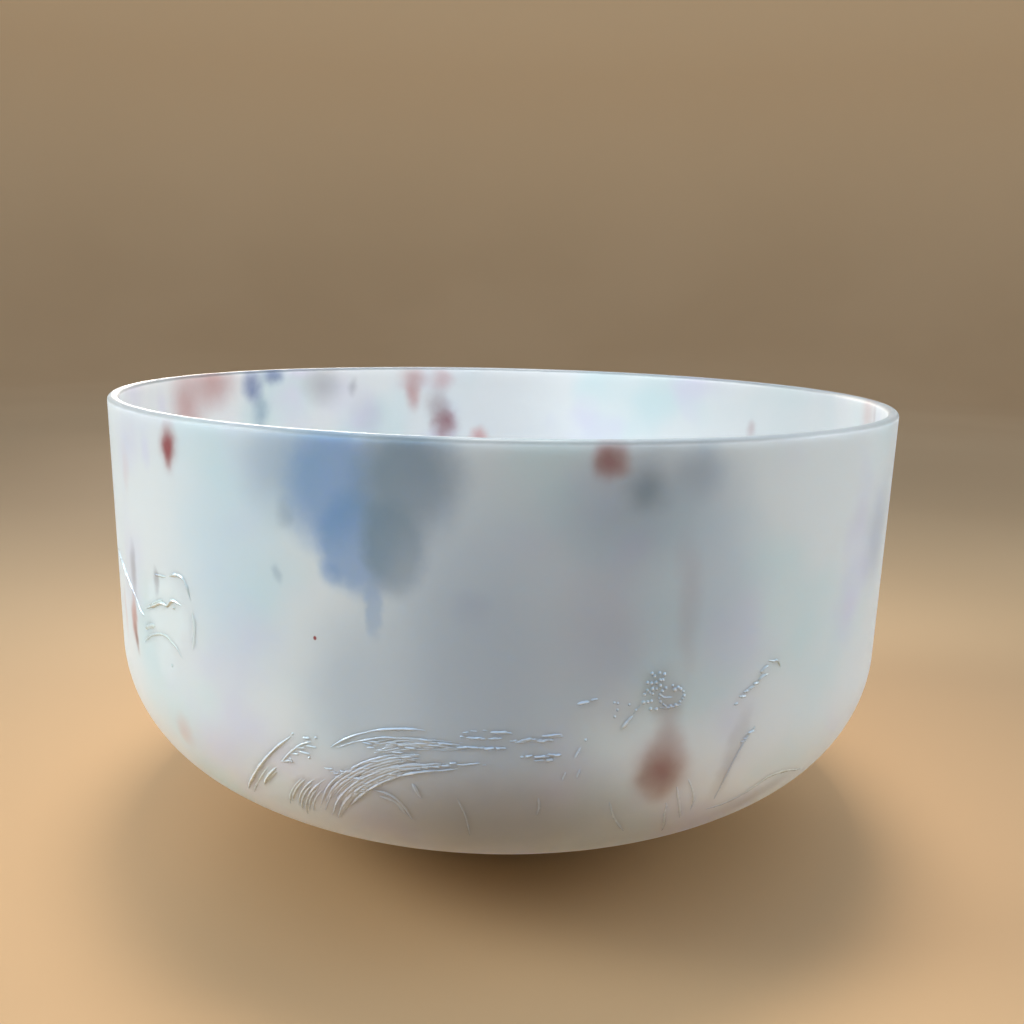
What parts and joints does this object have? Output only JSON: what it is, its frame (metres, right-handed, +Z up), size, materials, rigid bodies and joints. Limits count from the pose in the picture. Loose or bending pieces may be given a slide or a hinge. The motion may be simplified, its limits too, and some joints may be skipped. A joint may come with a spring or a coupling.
{
  "type": "singing bowl",
  "caption": "Thin-walled frosted quartz singing bowl with a straight wall, rounded heel and shallow domed base, clear fused relief outside, lifting off a round rubber ring.",
  "frame": {"origin": "on the bowl's axis, on the surface that the ring stands on", "axes": "+Z up along the bowl's axis, towards the rim; -Y is the side with the main sweep of the relief, and +X is to the right of it"},
  "size_m": [0.2286, 0.2286, 0.1279],
  "materials": {
    "frosted_quartz": "milky and frosted to a fine satin, with soft blue and red clouds in the glass",
    "clear_relief": "clear and shiny, fused onto the frosted glass",
    "black_rubber": "matt black, moulded"
  },
  "bodies": {
    "ring": {"rubber_ring": "black_rubber"},
    "bowl": {"bowl_shell": "frosted_quartz", "relief_left_patch": "clear_relief", "relief_left_strokes": "clear_relief", "relief_main_sweep": "clear_relief", "relief_sweep_tail": "clear_relief", "relief_drips": "clear_relief", "relief_bead_cluster": "clear_relief", "relief_right_stroke": "clear_relief"}
  },
  "joints": [
    {"name": "bowl_lift", "type": "slide", "parent": "ring", "child": "bowl", "axis": [0, 0, 1], "range_m": [0, 0.05]}
  ]
}
